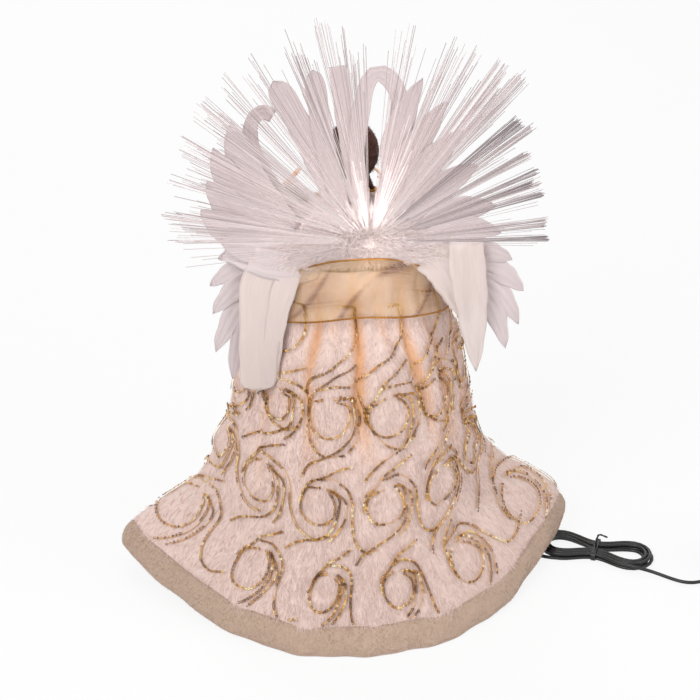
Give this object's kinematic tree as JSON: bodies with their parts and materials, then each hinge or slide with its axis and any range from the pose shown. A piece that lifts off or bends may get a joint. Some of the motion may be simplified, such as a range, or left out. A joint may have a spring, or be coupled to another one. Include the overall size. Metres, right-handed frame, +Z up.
{
  "type": "angel tree topper",
  "caption": "Lighted angel tree topper: plush gown on a hollow cone, cloth wings, a fan of optical fibres, a hidden lamp and colour wheel, and a thin low-voltage lead.",
  "frame": {"origin": "centre of the box of the figure at the surface on which the cone and the hem stand, the lead left out", "axes": "+Z up along the cone, -Y the way the figure faces, +X the figure's left side"},
  "size_m": [0.4572, 0.2084, 0.3935],
  "materials": {
    "plush": "short pile plush, pinkish white",
    "hem_cloth": "smooth cream plush",
    "former_board": "moulded white shell",
    "white_plastic": "moulded, satin",
    "steel": "plated",
    "wheel_film": "clear tinted sectors",
    "lamp_ceramic": "unglazed",
    "lamp_glass": "clear",
    "black_plastic": "moulded, fine texture",
    "fibre": "clear drawn fibre, lit at its ends",
    "skin": "cast, satin",
    "hair": "fine brown fibre",
    "gold_cord": "metallic thread",
    "organza": "sheer gold ribbon with wired edges",
    "sparkle_plush": "white plush with tinsel",
    "wing_cloth": "stiffened translucent cloth",
    "lead_jacket": "thin flexible jacket",
    "blade_metal": "plated"
  },
  "bodies": {
    "root": {"gown": "plush", "bodice": "plush", "sleeve_left": "plush", "sleeve_right": "plush", "hem_band": "hem_cloth", "former": "former_board", "lamp_housing": "white_plastic", "chassis_plate": "white_plastic", "housing_screw_1": "steel", "housing_screw_2": "steel", "housing_screw_3": "steel", "wheel_motor": "steel", "motor_screw_1": "steel", "motor_screw_2": "steel", "fibre_ferrule": "steel", "lamp_socket": "lamp_ceramic", "lamp": "lamp_glass", "cord_gland": "black_plastic", "hank_tie": "black_plastic", "adapter": "black_plastic", "fibre_bundle": "fibre", "fibre_spray_1": "fibre", "fibre_spray_2": "fibre", "fibre_spray_3": "fibre", "fibre_spray_4": "fibre", "head": "skin", "hand_left": "skin", "hand_right": "skin", "hair": "hair", "hair_tie": "gold_cord", "waist_sash": "organza", "bow_loop_left": "organza", "bow_loop_right": "organza", "bow_knot": "organza", "ribbon_tail_left": "organza", "ribbon_tail_right": "organza", "back_pad": "sparkle_plush", "wing_upper_left": "wing_cloth", "wing_upper_right": "wing_cloth", "wing_lower_left": "wing_cloth", "wing_lower_right": "wing_cloth", "streamer_left": "wing_cloth", "streamer_right": "wing_cloth", "plume_1": "wing_cloth", "plume_2": "wing_cloth", "plume_3": "wing_cloth", "plume_4": "wing_cloth", "plume_5": "wing_cloth", "lead_inner": "lead_jacket", "lead_hank": "lead_jacket", "lead_outer": "lead_jacket", "adapter_blade_1": "blade_metal", "adapter_blade_2": "blade_metal"},
    "wheel": {"colour_wheel": "wheel_film"},
    "cap": {"lamp_cap": "black_plastic"}
  },
  "joints": [
    {"name": "wheel_spin", "type": "hinge", "parent": "root", "child": "wheel", "pos_m": [0, -0.005, 0.16], "axis": [0, 0, 1], "continuous": true},
    {"name": "cap_pull", "type": "slide", "parent": "root", "child": "cap", "axis": [0, 0, -1], "range_m": [0, 0.012]}
  ]
}
